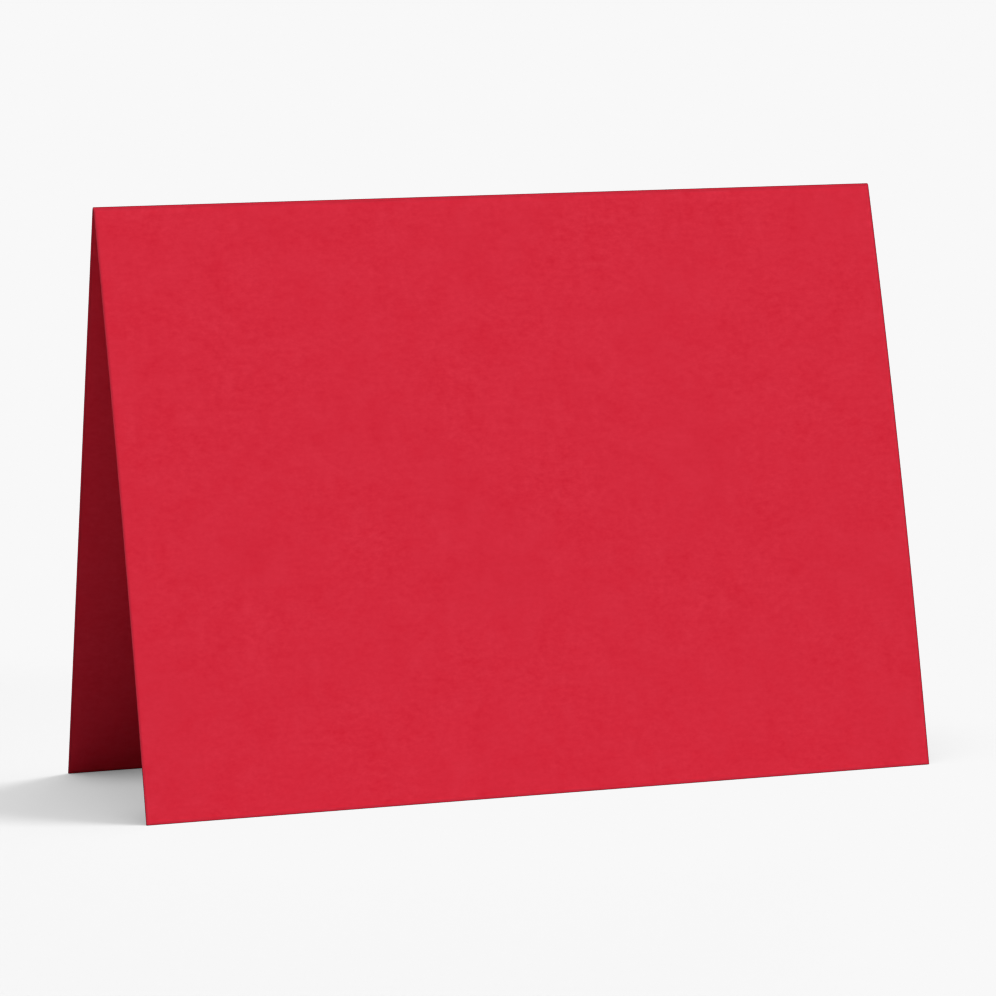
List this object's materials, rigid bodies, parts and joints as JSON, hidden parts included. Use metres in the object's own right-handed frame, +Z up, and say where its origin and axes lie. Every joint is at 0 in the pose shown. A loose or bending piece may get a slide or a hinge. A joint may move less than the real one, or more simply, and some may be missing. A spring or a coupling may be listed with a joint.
{
  "type": "folded card",
  "caption": "Plain red card-stock sheet, scored and folded across its middle, standing like a tent on its cut edges with a slightly bowed front panel.",
  "frame": {"origin": "on the floor, below the middle of the card's footprint", "axes": "+X along the fold, -Y out of the front panel, +Z up"},
  "size_m": [0.1778, 0.065, 0.1261],
  "materials": {
    "card_stock": "matte uncoated card stock, dyed red all through"
  },
  "bodies": {
    "root": {"folded_card": "card_stock"}
  },
  "joints": []
}
